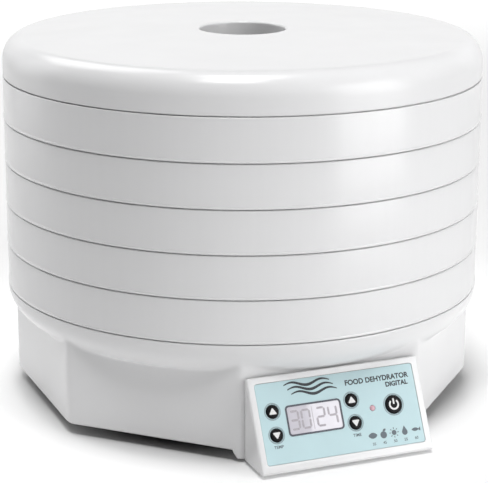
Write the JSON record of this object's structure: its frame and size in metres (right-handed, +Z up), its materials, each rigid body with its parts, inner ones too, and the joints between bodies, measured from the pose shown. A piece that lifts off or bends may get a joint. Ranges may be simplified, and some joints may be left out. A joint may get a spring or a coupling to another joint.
{
  "type": "food dehydrator",
  "caption": "Round food dehydrator: domed vented lid, stacked lift-off trays and an octagonal fan-heater base with a sloping digital control panel.",
  "frame": {"origin": "middle of the plan (between the panel's foot and the back of the stack) on the surface that the feet stand on", "axes": "+Z up along the stack, -Y towards the control panel and the user, +X to the right of the panel"},
  "size_m": [0.342, 0.3584, 0.2632],
  "materials": {
    "lid_shell": "glossy moulded white",
    "tray_plastic": "glossy moulded white with faint flow lines",
    "base_shell": "satin gloss moulded white",
    "deck_plastic": "satin moulded white",
    "pod_shell": "satin gloss moulded white",
    "label": "printed pale aqua film",
    "lens": "clear lens over a pale lavender display",
    "button_plastic": "black with white printed symbol",
    "led_red": "pale red diffusing lamp",
    "foot_rubber": "moulded",
    "plate_plastic": "fine moulded texture",
    "black_plastic": "moulded",
    "screw_steel": "zinc plated",
    "sheet_steel": "plated sheet",
    "lamination_steel": "stacked laminations, varnished",
    "bearing_bronze": "sintered",
    "coil_copper": "enamelled copper winding",
    "fan_aluminium": "pressed sheet",
    "heater_sheath": "heat-tinted sheath",
    "circuit_board": "solder mask",
    "switch_metal": "stamped"
  },
  "bodies": {
    "base": {"base_housing": "base_shell", "air_deck": "deck_plastic", "control_housing": "pod_shell", "control_panel": "label", "display_window": "lens", "status_led": "led_red", "foot_1": "foot_rubber", "foot_2": "foot_rubber", "foot_3": "foot_rubber", "foot_4": "foot_rubber", "bottom_plate": "plate_plastic", "cord_gland": "black_plastic", "display_module": "black_plastic", "relay": "black_plastic", "thermal_cutout": "black_plastic", "base_screw_1": "screw_steel", "base_screw_2": "screw_steel", "base_screw_3": "screw_steel", "base_screw_4": "screw_steel", "motor_screw_1": "screw_steel", "motor_screw_2": "screw_steel", "pod_screw_1": "screw_steel", "pod_screw_2": "screw_steel", "fan_shroud": "sheet_steel", "motor_mount": "sheet_steel", "bearing_bracket_upper": "sheet_steel", "bearing_bracket_lower": "sheet_steel", "heater_clip_1": "sheet_steel", "heater_clip_2": "sheet_steel", "heater_clip_3": "sheet_steel", "temperature_sensor": "sheet_steel", "motor_stator": "lamination_steel", "transformer": "lamination_steel", "bearing_upper": "bearing_bronze", "bearing_lower": "bearing_bronze", "motor_coil": "coil_copper", "heating_element": "heater_sheath", "power_board": "circuit_board", "control_board": "circuit_board", "temp_up_switch": "switch_metal", "temp_down_switch": "switch_metal", "time_up_switch": "switch_metal", "time_down_switch": "switch_metal", "power_switch": "switch_metal"},
    "lid": {"lid": "lid_shell"},
    "tray_1": {"tray_1": "tray_plastic"},
    "tray_2": {"tray_2": "tray_plastic"},
    "tray_3": {"tray_3": "tray_plastic"},
    "tray_4": {"tray_4": "tray_plastic"},
    "tray_5": {"tray_5": "tray_plastic"},
    "fan": {"motor_shaft": "screw_steel", "motor_rotor": "lamination_steel", "fan_clip": "screw_steel", "fan_impeller": "fan_aluminium"},
    "temp_up_button": {"temp_up_button": "button_plastic"},
    "temp_down_button": {"temp_down_button": "button_plastic"},
    "time_up_button": {"time_up_button": "button_plastic"},
    "time_down_button": {"time_down_button": "button_plastic"},
    "power_button": {"power_button": "button_plastic"}
  },
  "joints": [
    {"name": "tray_5_lift", "type": "slide", "parent": "base", "child": "tray_5", "axis": [0, 0, 1], "range_m": [0, 0.06]},
    {"name": "tray_4_lift", "type": "slide", "parent": "tray_5", "child": "tray_4", "axis": [0, 0, 1], "range_m": [0, 0.06]},
    {"name": "tray_3_lift", "type": "slide", "parent": "tray_4", "child": "tray_3", "axis": [0, 0, 1], "range_m": [0, 0.06]},
    {"name": "tray_2_lift", "type": "slide", "parent": "tray_3", "child": "tray_2", "axis": [0, 0, 1], "range_m": [0, 0.06]},
    {"name": "tray_1_lift", "type": "slide", "parent": "tray_2", "child": "tray_1", "axis": [0, 0, 1], "range_m": [0, 0.06]},
    {"name": "lid_lift", "type": "slide", "parent": "tray_1", "child": "lid", "axis": [0, 0, 1], "range_m": [0, 0.06]},
    {"name": "fan_spin", "type": "hinge", "parent": "base", "child": "fan", "pos_m": [0, 0.00825, 0.055], "axis": [0, 0, 1], "continuous": true},
    {"name": "temp_up_press", "type": "slide", "parent": "base", "child": "temp_up_button", "axis": [0, 0.89, -0.4559], "range_m": [0, 0.0006], "stiffness_N_per_m": 300, "springref_m": -0.001},
    {"name": "temp_down_press", "type": "slide", "parent": "base", "child": "temp_down_button", "axis": [0, 0.89, -0.4559], "range_m": [0, 0.0006], "stiffness_N_per_m": 300, "springref_m": -0.001},
    {"name": "time_up_press", "type": "slide", "parent": "base", "child": "time_up_button", "axis": [0, 0.89, -0.4559], "range_m": [0, 0.0006], "stiffness_N_per_m": 300, "springref_m": -0.001},
    {"name": "time_down_press", "type": "slide", "parent": "base", "child": "time_down_button", "axis": [0, 0.89, -0.4559], "range_m": [0, 0.0006], "stiffness_N_per_m": 300, "springref_m": -0.001},
    {"name": "power_press", "type": "slide", "parent": "base", "child": "power_button", "axis": [0, 0.89, -0.4559], "range_m": [0, 0.0006], "stiffness_N_per_m": 300, "springref_m": -0.001}
  ]
}
